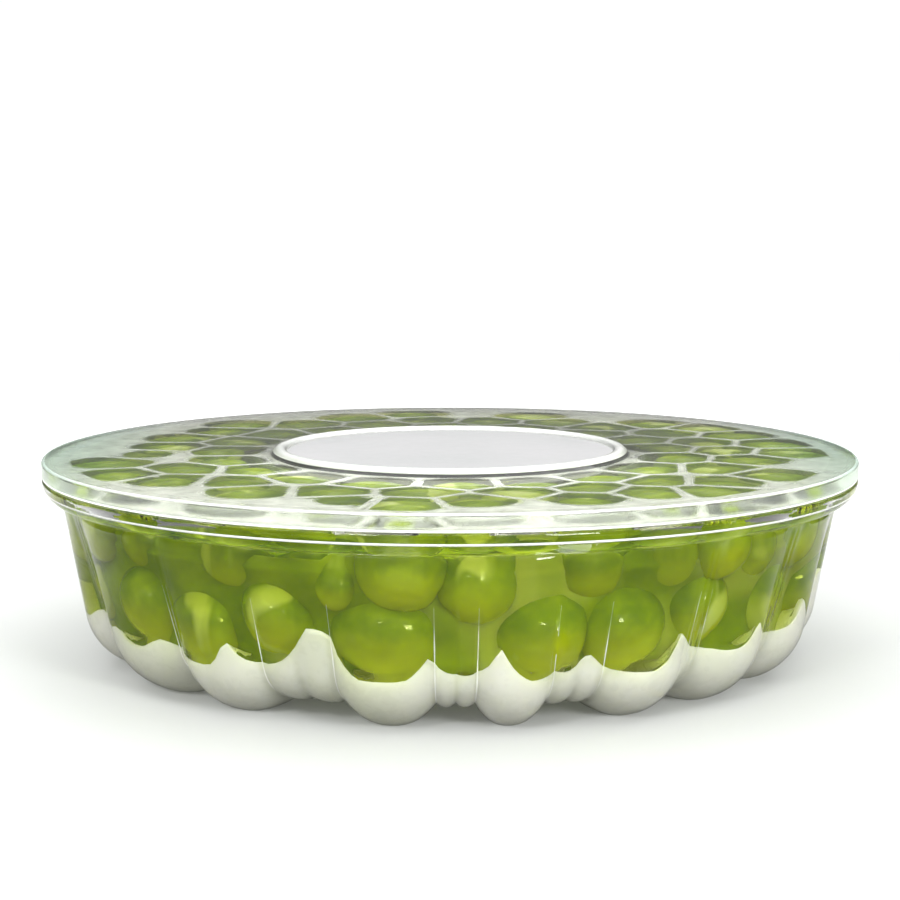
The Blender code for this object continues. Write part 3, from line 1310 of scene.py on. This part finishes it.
@dataclass
class JellySurfaces:
    """The two uneven surfaces that the jellies share: the milk layer's top and the patches at the plate."""

    form: MouldForm
    bed: GrapeBed
    plate_bottom: float
    milk_level: float = 0.0310
    lowest: float = 0.0150
    bank_slope: float = 0.7
    blend: float = 0.0055
    seat: float = 0.0009
    patch_reach: float = 0.0148
    patch_fade: float = 0.022
    patch_depth: float = 0.0120
    patch_drop: float = 0.0011
    band_width: float = 0.0026
    press: float = 0.00012
    edge_share: float = 0.7
    # height, how many times round and where it starts
    ripples: tuple[tuple[float, int, float], ...] = ((0.0008, 5, 1.0), (0.0006, 13, 0.0))

    def milk_top(self, points: Array) -> Array:
        """Height of the milk layer, which each low grape dents out to the wall.

        Args:
            points: Where to find it, as rows of x and y in the last axis.

        Returns:
            The heights.
        """
        x, y = points[..., 0], points[..., 1]
        angles = np.arctan2(x, -y)
        ripple = sum(height * np.sin(times * angles + start) for height, times, start in self.ripples)
        level = self.milk_level + ripple
        for centre, radius in zip(self.bed.centres, self.bed.radii):
            if centre[2] - radius > self.milk_level:
                continue
            reach = radius + self.seat
            centre_radius = math.hypot(centre[0], centre[1])
            unit = centre[:2] / centre_radius
            along = x * unit[0] + y * unit[1] - centre_radius
            sideways = -x * unit[1] + y * unit[0]
            inward = np.where(along > 0, along * 0.25, along)
            gap = sideways**2 + inward**2
            away = np.sqrt(gap)
            dent = centre[2] - np.sqrt(np.clip(reach**2 - gap, 0, None))
            dent = dent + np.clip(away - reach, 0, None) * self.bank_slope
            level = soft_minimum(level, dent, self.blend)
        return np.maximum(level, self.lowest)

    def milk_edge(self, inset: float) -> Array:
        """Height of the milk layer along the wall, read where the wall is this share of its way down."""
        return self.milk_top(self.form.skin(self.form.walls(np.array([self.edge_share])), inset))[0]

    def dryness(self, points: Array) -> Array:
        """How far the plate is from the jelly: 0 over each high grape, and 1 in the bands between.

        Args:
            points: Where to find it, as rows of x and y in the last axis.

        Returns:
            The values.
        """
        first = np.full(points.shape[:-1], 9.0)
        second, covered = first.copy(), first.copy()
        for centre, radius in zip(self.bed.centres, self.bed.radii):
            if self.plate_bottom - (centre[2] + radius) > self.patch_depth:
                continue
            gap = np.hypot(points[..., 0] - centre[0], points[..., 1] - centre[1])
            second = np.minimum(second, np.maximum(first, gap))
            first = np.minimum(first, gap)
            depth = self.plate_bottom - (centre[2] + radius)
            covered = np.minimum(covered, gap / (self.patch_reach * (1 - depth / self.patch_fade)))
        apart = smoothstep(self.band_width, 0.0, second - first)
        outside = smoothstep(0.78, 1.12, covered)
        return np.maximum(apart, outside)

    def jelly_top(self, points: Array) -> Array:
        """Height of the clear jelly, which touches the plate over each high grape and sinks between.

        Args:
            points: Where to find it, as rows of x and y in the last axis.

        Returns:
            The heights.
        """
        return self.plate_bottom + self.press - (self.patch_drop + self.press) * self.dryness(points)


@dataclass
class MilkJelly:
    """The white layer in the mould's lobes, which reaches a little into the wall."""

    form: MouldForm
    surfaces: JellySurfaces
    reach: float = 0.0002

    def finish(self) -> SoftFinish:
        """Milk set with gelatine, its off-white tinted a little green in places, painted for light that has
        come through the green jelly, with a painted glow.
        """
        return SoftFinish(
            "milk_jelly", (0.64, 0.66, 0.54), (0.74, 0.74, 0.68), 22.0, 0.8, 0.010,
            (1.0, 0.97, 0.8), 30.0, 0.0001, 0.22, 0.4, painted_glow=0.17,
        )

    def build(self, groups: SharedGroups) -> bpy.types.Object:
        """Makes the layer.

        Args:
            groups: The shared node groups.

        Returns:
            The finished piece.
        """
        form, inset = self.form, self.form.wall - self.reach
        share = form.wall_share(np.maximum(self.surfaces.milk_edge(inset), 0.0165))
        angles, _ = form.fluting()
        wall = [form.wall_ring(share + step * (1 - share), inset) for step in np.linspace(0, 1, 8)[:-1]]
        chimney_radius = form.chimney_foot[0] + inset
        foot = turned(angles, [chimney_radius], [form.chimney_foot[1]])[0]
        across = np.linspace(0, 1, 34)[1:-1, None, None]
        top = foot + across * (wall[0] - foot)
        top[..., 2] = self.surfaces.milk_top(top)
        rings = np.concatenate([
            np.array(wall),
            form.skin(form.corner(np.linspace(form.corner_start, 90, 12)), inset),
            form.skin(form.crown(np.linspace(0, 90, 14)[:-1]), inset),
            turned(angles, [chimney_radius], [form.chimney_foot[1]]),
            top,
        ])
        piece = ring_body("milk_layer", rings, self.finish().build(groups), looped=True)
        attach(piece, "root")
        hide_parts("milk_jelly")
        return piece


@dataclass
class ClearJelly:
    """The clear green layer round the grapes, which reaches a little into the wall and the milk layer."""

    form: MouldForm
    surfaces: JellySurfaces
    reach: float = 0.0002
    overlap: float = 0.0004

    def finish(self) -> ClearFinish:
        """Clear fruit jelly that deepens to yellow green."""
        return ClearFinish(
            "clear_jelly", (1.0, 1.0, 1.0), 1.36, (0.86, 0.93, 0.55), 60.0, 0.00015,
            0.0, 0.02, (0.835, 0.875, 0.0), 110.0,
        )

    def build(self, groups: SharedGroups) -> bpy.types.Object:
        """Makes the layer.

        Args:
            groups: The shared node groups.

        Returns:
            The finished piece.
        """
        form, inset = self.form, self.form.wall - self.reach
        angles, _ = form.fluting()
        share = form.wall_share(np.maximum(self.surfaces.milk_edge(inset) - self.overlap, 0.0161))
        wall = [form.wall_ring(share * step, inset) for step in np.linspace(1, 0, 14)]
        brim_radius = form.collar_radius - inset
        brim = turned(angles, [brim_radius] * 3, [form.top - 0.004, form.top - 0.002, form.top])
        chimney = form.chimney_radius(np.linspace(form.top, form.chimney_foot[1], 7)) + inset
        stem = turned(angles, chimney, np.linspace(form.top, form.chimney_foot[1], 7))
        over = np.linspace(0, 1, 62)[1:-1, None, None]
        top = brim[-1] + over * (stem[0] - brim[-1])
        top[..., 2] = self.surfaces.jelly_top(top)
        brim[-1, :, 2] = self.surfaces.jelly_top(brim[-1])
        stem[0, :, 2] = self.surfaces.jelly_top(stem[0])
        under = np.linspace(0, 1, 34)[1:-1, None, None]
        bottom = stem[-1] + under * (wall[0] - stem[-1])
        bottom[..., 2] = self.surfaces.milk_top(bottom) - self.overlap
        rings = np.concatenate([np.array(wall), brim, top, stem, bottom])
        piece = ring_body("clear_layer", rings, self.finish().build(groups), looped=True)
        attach(piece, "root")
        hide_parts("clear_jelly")
        return piece


@dataclass
class JellyDepth:
    """The thick of the clear jelly, too deep to see through, behind the grapes that show."""

    form: MouldForm
    plate_bottom: float
    behind_wall: float = 0.0085
    below_plate: float = 0.0085
    low: float = 0.0175
    wave: float = 0.0016
    around: int = 240

    def finish(self) -> SoftFinish:
        """Jelly and fruit run together, with pale gaps painted where light comes through, and a painted glow.
        """
        return SoftFinish(
            "jelly_depth", (0.135, 0.20, 0.0), (0.29, 0.36, 0.002), 48.0, 0.5, 0.006,
            (1.0, 0.9, 0.2), 40.0, 0.0006, 0.2, 0.5, ior=1.1, painted_glow=0.16,
            patch=(0.37, 0.41, 0.20), patch_scale=30.0, patch_start=0.50,
        )

    def build(self, groups: SharedGroups) -> bpy.types.Object:
        """Makes the body.

        Args:
            groups: The shared node groups.

        Returns:
            The finished piece.
        """
        form = self.form
        angles = np.linspace(0, 2 * math.pi, self.around, endpoint=False)
        top = self.plate_bottom - self.below_plate
        heights = np.linspace(self.low, top - 0.004, 18)
        outer = np.stack([form.inner_radius(np.full(self.around, h), angles) for h in heights])
        outer = outer.mean(axis=1, keepdims=True) + 0.4 * (outer - outer.mean(axis=1, keepdims=True))
        turn = angles[None] * 9 + heights[:, None] * 260
        outer = outer - self.behind_wall + self.wave * np.sin(turn) * np.cos(angles[None] * 4 + 1.3)
        inner_low = form.chimney_radius(heights[::-1]) + form.wall + 0.001
        over = np.linspace(0, 1, 14)[:, None]
        top_radius = (outer[-1] - 0.003) * (1 - over) + (inner_low[0] + 0.002) * over
        swell = self.wave * np.sin(angles[None] * 7 + over * 9) * np.sin(over * math.pi)
        top_height = top + swell + 0 * top_radius
        radius = np.vstack([outer, top_radius, np.repeat(inner_low[:, None], self.around, 1)])
        height = np.vstack([
            np.repeat(heights[:, None], self.around, 1), top_height,
            np.repeat(heights[::-1][:, None], self.around, 1),
        ])
        rings = np.stack([radius * np.sin(angles), -radius * np.cos(angles), height], axis=-1)
        piece = ring_body("jelly_depth", rings, self.finish().build(groups), looped=True)
        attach(piece, "root")
        return piece


@dataclass
class PaintedHighlightLines:
    """Thin whitish beads that are painted highlights: along each valley of the wall, and round the flange and
    the plate.
    """

    form: MouldForm
    plate: GlassPlate
    bead: float = 0.00027
    rim_bead: float = 0.00036
    ring_bead: float = 0.0012
    sides: int = 6
    steps: int = 34
    seed: int = 4

    def finish(self) -> SoftFinish:
        """Whitish, with a little glow: painted highlight lines."""
        return SoftFinish(
            "painted_highlight_bead", (0.78, 0.80, 0.76), (0.9, 0.9, 0.88), 90.0, 0.0, 0.001,
            (1.0, 1.0, 1.0), 90.0, 0.00002, 0.1, 0.2, painted_glow=0.25,
        )

    def tube(self, path: Array, thickness: Array, closed: bool) -> tuple[Array, list]:
        """Sweeps a small polygon along a path.

        Args:
            path: Points of the centre line.
            thickness: Radius at each point.
            closed: Whether the path is a loop.

        Returns:
            Its vertices and faces.
        """
        ahead = np.roll(path, -1, axis=0) - np.roll(path, 1, axis=0)
        if not closed:
            ahead[0], ahead[-1] = path[1] - path[0], path[-1] - path[-2]
        ahead /= np.linalg.norm(ahead, axis=1, keepdims=True)
        out = path * np.array([1, 1, 0])
        side = np.cross(ahead, out)
        side /= np.linalg.norm(side, axis=1, keepdims=True)
        lift = np.cross(side, ahead)
        turn = np.linspace(0, 2 * math.pi, self.sides, endpoint=False)[None, :, None]
        rings = path[:, None] + thickness[:, None, None] * (
            np.cos(turn) * side[:, None] + np.sin(turn) * lift[:, None]
        )
        points = rings.reshape(-1, 3)
        faces = stack_faces(len(path), self.sides, closed)
        if not closed:
            faces.append(tuple(range(self.sides))[::-1])
            faces.append(tuple(len(points) - self.sides + i for i in range(self.sides)))
        if signed_volume(points, faces) < 0:
            faces = [face[::-1] for face in faces]
        return points, faces

    def valley_path(self, degrees: float) -> Array:
        """Centre line down one valley, from below the collar to the crown."""
        form = self.form
        rows = np.concatenate([
            form.walls(np.linspace(0.42, 1, self.steps)),
            form.corner(np.linspace(form.corner_start, 84, 12)[1:]),
        ])
        radius = rows[:, 0] - rows[:, 2] * self.bead
        height = rows[:, 1] - rows[:, 3] * self.bead
        turn = math.radians(degrees)
        return np.stack([radius * math.sin(turn), -radius * math.cos(turn), height], axis=-1)

    def circle(self, radius: float, height: float) -> Array:
        """Centre line of a circle round the axis."""
        return turned(np.linspace(0, 2 * math.pi, 288, endpoint=False), [radius], [height])[0]

    def build(self, groups: SharedGroups) -> bpy.types.Object:
        """Makes all the beads as one mesh.

        Args:
            groups: The shared node groups.

        Returns:
            The finished piece.
        """
        form, plate = self.form, self.plate
        parts = []
        rng = np.random.default_rng(self.seed)
        for start, end in form.lobe_spans():
            for degrees in (start, end):
                path = self.valley_path(degrees)
                along = np.linspace(0, 1, len(path))
                taper = 0.15 + 0.85 * smoothstep(rng.uniform(-0.1, 0.2), rng.uniform(0.4, 0.7), along)
                swell = 0.78 + 0.22 * np.sin(along * rng.uniform(9, 15) + rng.uniform(0, 6))
                thickness = self.bead * rng.uniform(0.6, 1.0) * taper * swell
                parts.append(self.tube(path, thickness, closed=False))
        rim = form.rim_radius - self.rim_bead * 1.1
        for radius, height in (
            (rim - 0.0003, plate.top - 0.0004),
            (rim, plate.bottom + 0.0002),
            (form.rim_radius - 0.0009, form.top - 0.0030),
        ):
            path = self.circle(radius, height)
            parts.append(self.tube(path, np.full(len(path), self.rim_bead), closed=True))
        crest = plate.top + plate.ring_height - self.ring_bead * 1.02
        path = self.circle(plate.ring_radius, crest)
        parts.append(self.tube(path, np.full(len(path), self.ring_bead), closed=True))
        points, faces, count = [], [], 0
        for own_points, own_faces in parts:
            points.append(own_points)
            faces += [tuple(i + count for i in face) for face in own_faces]
            count += len(own_points)
        piece = mesh_object("painted_highlight_beads", np.vstack(points), faces, self.finish().build(groups))
        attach(piece, "root")
        return piece


@dataclass
class PlateReflectionHaze:
    """Painted reflection haze on the plate's underside, wherever the jelly doesn't touch it."""

    form: MouldForm
    surfaces: JellySurfaces
    depth: float = 0.0002
    thickness: float = 0.0001
    outer_radius: float = 0.1236
    shelf_reflection_haze: float = 0.55
    rows: int = 84
    around: int = 560

    def finish(self) -> ReflectionHazeFinish:
        """Whitish painted reflection haze."""
        return ReflectionHazeFinish("plate_reflection_haze", (0.80, 0.82, 0.72), 0.85, 120.0)

    def build(self, groups: SharedGroups) -> bpy.types.Object:
        """Makes the film.

        Args:
            groups: The shared node groups.

        Returns:
            The finished piece.
        """
        surfaces, form = self.surfaces, self.form
        inner = form.chimney_top_radius + form.wall
        radii = np.linspace(inner, self.outer_radius, self.rows)
        angles = np.linspace(0, 2 * math.pi, self.around, endpoint=False)
        low = surfaces.plate_bottom + self.depth
        upper = turned(angles, radii, np.full(self.rows, low + self.thickness))
        lower = turned(angles, radii[::-1], np.full(self.rows, low))
        rings = np.concatenate([upper, lower])
        piece = ring_body("plate_reflection_haze", rings, self.finish().build(groups), looped=True)
        away = np.hypot(rings[..., 0], rings[..., 1])
        brim = form.collar_radius - form.wall
        shelf = smoothstep(brim - 0.001, brim + 0.0005, away)
        edge = smoothstep(self.outer_radius, self.outer_radius - 0.003, away)
        near = smoothstep(inner, inner + 0.001, away)
        # Painted reflection haze: full over the dry bands between the patches, partial over the flange's
        # shelf.
        reflection_haze = np.where(shelf > 0, self.shelf_reflection_haze, surfaces.dryness(rings)) * edge * near
        layer = piece.data.attributes.new("reflection_haze", "FLOAT", "POINT")
        layer.data.foreach_set("value", reflection_haze.ravel().astype(np.float32))
        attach(piece, "root")
        return piece


@dataclass
class Grapes:
    """All grapes as one piece, each uneven and turned its own way."""

    bed: GrapeBed
    seed: int = 5

    def finish(self) -> GrapeFinish:
        """Green grape flesh under a glossy skin, with painted light: yellower below, pale patches and a glow.
        """
        return GrapeFinish(
            "grape_skin", (0.125, 0.19, 0.0), (0.26, 0.34, 0.0), (0.54, 0.56, 0.004),
            (0.46, 0.52, 0.16),
        )

    def build(self, groups: SharedGroups) -> bpy.types.Object:
        """Makes the grapes.

        Args:
            groups: The shared node groups.

        Returns:
            The finished piece.
        """
        rng = np.random.default_rng(self.seed)
        count = len(self.bed.radii)
        length = rng.uniform(1.0, 1.12, count)
        size = np.stack([self.bed.radii, self.bed.radii, self.bed.radii * length], axis=-1) * 0.985
        turn = rng.uniform(-0.5, 0.5, (count, 3)) + np.array([math.pi / 2, 0, 0])
        turn[:, 2] = rng.uniform(0, 2 * math.pi, count)
        carrier = point_carrier(
            "grape_places", self.bed.centres,
            {"size": size, "turn": turn, "centre": self.bed.centres},
        )
        recipe = round_things("grape_recipe", self.finish().build(groups), 4, 0.0016, 55.0)
        piece = recipe.grow(carrier, "grapes")
        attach(piece, "root")
        return piece


# ------------------------------------------------------------------ studio


@dataclass
class Studio:
    """Floor, lights, surroundings and camera."""

    subject_top: float
    camera_elevation: float = 7.35
    camera_distance: float = 0.625
    lens: float = 80.2
    floor_radius: float = 1.1
    ambient: float = 0.48
    overhead: float = 1.6
    fill: float = 0.7
    bounces: int = 28

    def build_floor(self) -> None:
        """Lays the pale floor."""
        turn = np.linspace(0, 2 * math.pi, 96, endpoint=False)
        points = turned(turn, [self.floor_radius], [0])[0]
        material, graph, output = new_material("pale_floor")
        body = graph.add("ShaderNodeBsdfPrincipled", Base_Color=(0.72, 0.735, 0.73, 1.0), Roughness=0.6)
        place = graph.add("ShaderNodeTexCoord")
        length = graph.add("ShaderNodeVectorMath")
        length.operation = "LENGTH"
        graph.join(place.outputs["Object"], length.inputs[0])
        far = graph.add("ShaderNodeMapRange", From_Min=0.17, From_Max=0.5, To_Max=0.6)
        graph.join(length.outputs["Value"], far.inputs["Value"])
        body.inputs["Emission Color"].default_value = (1.0, 1.0, 1.0, 1.0)
        graph.join(far.outputs["Result"], body.inputs["Emission Strength"])
        split = graph.add("ShaderNodeSeparateXYZ")
        graph.join(place.outputs["Object"], split.inputs[0])
        behind = graph.add("ShaderNodeMapRange", From_Min=-0.05, From_Max=0.2, To_Min=0.13, To_Max=0.75)
        graph.join(split.outputs["Y"], behind.inputs["Value"])
        mirrored = graph.add("ShaderNodeBsdfDiffuse")
        graph.join(behind.outputs["Result"], mirrored.inputs["Color"])
        path = graph.add("ShaderNodeLightPath")
        mix = graph.add("ShaderNodeMixShader")
        graph.join(path.outputs["Is Glossy Ray"], mix.inputs["Fac"])
        graph.join(body.outputs["BSDF"], mix.inputs[1])
        graph.join(mirrored.outputs["BSDF"], mix.inputs[2])
        graph.join(mix.outputs["Shader"], output.inputs["Surface"])
        floor = mesh_object("floor", points, [tuple(range(len(points)))], material)

    def build_world(self) -> None:
        """White where it is looked at or through, and darker near the horizon where it is mirrored."""
        world = bpy.data.worlds.new("studio")
        bpy.context.scene.world = world
        world.use_nodes = True
        graph = ShaderGraph(world.node_tree)
        output = graph.add("ShaderNodeOutputWorld")
        place = graph.add("ShaderNodeTexCoord")
        split = graph.add("ShaderNodeSeparateXYZ")
        graph.join(place.outputs["Generated"], split.inputs[0])
        ramp = graph.add("ShaderNodeMapRange", From_Min=0.12, From_Max=0.75, To_Min=0.22, To_Max=0.75)
        graph.join(split.outputs["Z"], ramp.inputs["Value"])
        mirrored = graph.add("ShaderNodeBackground")
        graph.join(ramp.outputs["Result"], mirrored.inputs["Strength"])
        around = graph.add("ShaderNodeBackground", Color=(1, 1, 1, 1), Strength=self.ambient)
        seen = graph.add("ShaderNodeBackground", Color=(1, 1, 1, 1), Strength=1.02)
        path = graph.add("ShaderNodeLightPath")
        unmirrored = graph.math("LESS_THAN", path.outputs["Glossy Depth"], 0.5)
        through = graph.math("MULTIPLY", path.outputs["Is Transmission Ray"], unmirrored)
        either = graph.math("MAXIMUM", path.outputs["Is Camera Ray"], through)
        bounced = graph.math("GREATER_THAN", path.outputs["Glossy Depth"], 0.5)
        dim = graph.add("ShaderNodeMixShader")
        graph.join(bounced, dim.inputs["Fac"])
        graph.join(around.outputs[0], dim.inputs[1])
        graph.join(mirrored.outputs[0], dim.inputs[2])
        mix = graph.add("ShaderNodeMixShader")
        graph.join(either, mix.inputs["Fac"])
        graph.join(dim.outputs[0], mix.inputs[1])
        graph.join(seen.outputs[0], mix.inputs[2])
        graph.join(mix.outputs["Shader"], output.inputs["Surface"])

    def add_panel(
        self, name: str, place: Place, size: tuple[float, float], radiance: float, mirrored: bool = True
    ) -> None:
        """Adds a rectangular light that faces the subject.

        Args:
            name: The light's name.
            place: Where it stands.
            size: Its width and height.
            radiance: How bright its face is.
            mirrored: Whether it shows in gloss and through glass.
        """
        lamp = bpy.data.lights.new(name, "AREA")
        lamp.shape = "RECTANGLE"
        lamp.size, lamp.size_y = size
        lamp.energy = radiance * math.pi * size[0] * size[1]
        obj = bpy.data.objects.new(name, lamp)
        bpy.context.scene.collection.objects.link(obj)
        obj.location = place
        direction = obj.location - Vector((0, 0, self.subject_top / 2))
        obj.rotation_euler = direction.to_track_quat("Z", "Y").to_euler()
        obj.visible_glossy = obj.visible_transmission = mirrored

    def build_lights(self) -> None:
        """Hangs a broad panel overhead, fills from the front, and adds small panels for the gloss."""
        self.add_panel("overhead", (0.05, 0.15, 1.4), (2.4, 2.4), self.overhead)
        self.add_panel("front_fill", (0.0, -1.2, 0.45), (2.4, 0.9), self.fill, mirrored=False)
        self.add_panel("left_fill", (-1.1, -0.5, 0.35), (1.2, 0.6), 3.6 * self.fill, mirrored=False)
        self.add_panel("back_fill", (0.0, 1.3, 0.45), (2.4, 0.9), self.fill, mirrored=False)
        self.add_panel("window", (0.5, -0.8, 0.45), (0.22, 0.28), 22.0)
        self.add_panel("spark", (-0.3, -0.7, 0.55), (0.12, 0.12), 34.0)

    def build_camera(self) -> None:
        """Places the camera in front, a little above the rim."""
        data = bpy.data.cameras.new("camera")
        data.lens = self.lens
        data.sensor_width = 36.0
        camera = bpy.data.objects.new("camera", data)
        bpy.context.scene.collection.objects.link(camera)
        turn = math.radians(self.camera_elevation)
        camera.location = (
            0, -self.camera_distance * math.cos(turn),
            self.subject_top + self.camera_distance * math.sin(turn),
        )
        camera.rotation_euler = (math.pi / 2 - turn, 0, 0)
        data.clip_start = 0.01
        bpy.context.scene.camera = camera

    def build(self) -> None:
        """Sets up everything round the object."""
        scene = bpy.context.scene
        scene.view_settings.view_transform = "Standard"
        scene.view_settings.look = "None"
        scene.cycles.max_bounces = self.bounces
        scene.cycles.glossy_bounces = self.bounces
        scene.cycles.transmission_bounces = self.bounces
        scene.cycles.transparent_max_bounces = self.bounces
        self.build_floor()
        self.build_world()
        self.build_lights()
        self.build_camera()


# ------------------------------------------------------------------ main


def main() -> None:
    """Builds the object and its studio."""
    logging.basicConfig(level=logging.INFO, format="%(message)s")
    plate_low, plate_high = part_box("glass_plate")
    _, mould_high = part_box("mould")
    groups = SharedGroups()
    ring_height = GlassPlate.ring_height
    plate = GlassPlate(plate_high[0], plate_low[2], plate_high[2] - ring_height)
    form = MouldForm(plate_high[0], mould_high[2])
    bed = GrapeBed(form, plate.bottom)
    surfaces = JellySurfaces(form, bed, plate.bottom)
    makers = (
        plate, FrostedBase(plate), Mould(form), MilkJelly(form, surfaces), ClearJelly(form, surfaces),
        PlateReflectionHaze(form, surfaces), JellyDepth(form, plate.bottom), PaintedHighlightLines(form, plate),
        Grapes(bed),
    )
    for maker in makers:
        piece = maker.build(groups)
        LOG.info("%s: %d faces", piece.name, len(piece.data.polygons))
    Studio(plate.top).build()


if __name__ == "__main__":
    main()
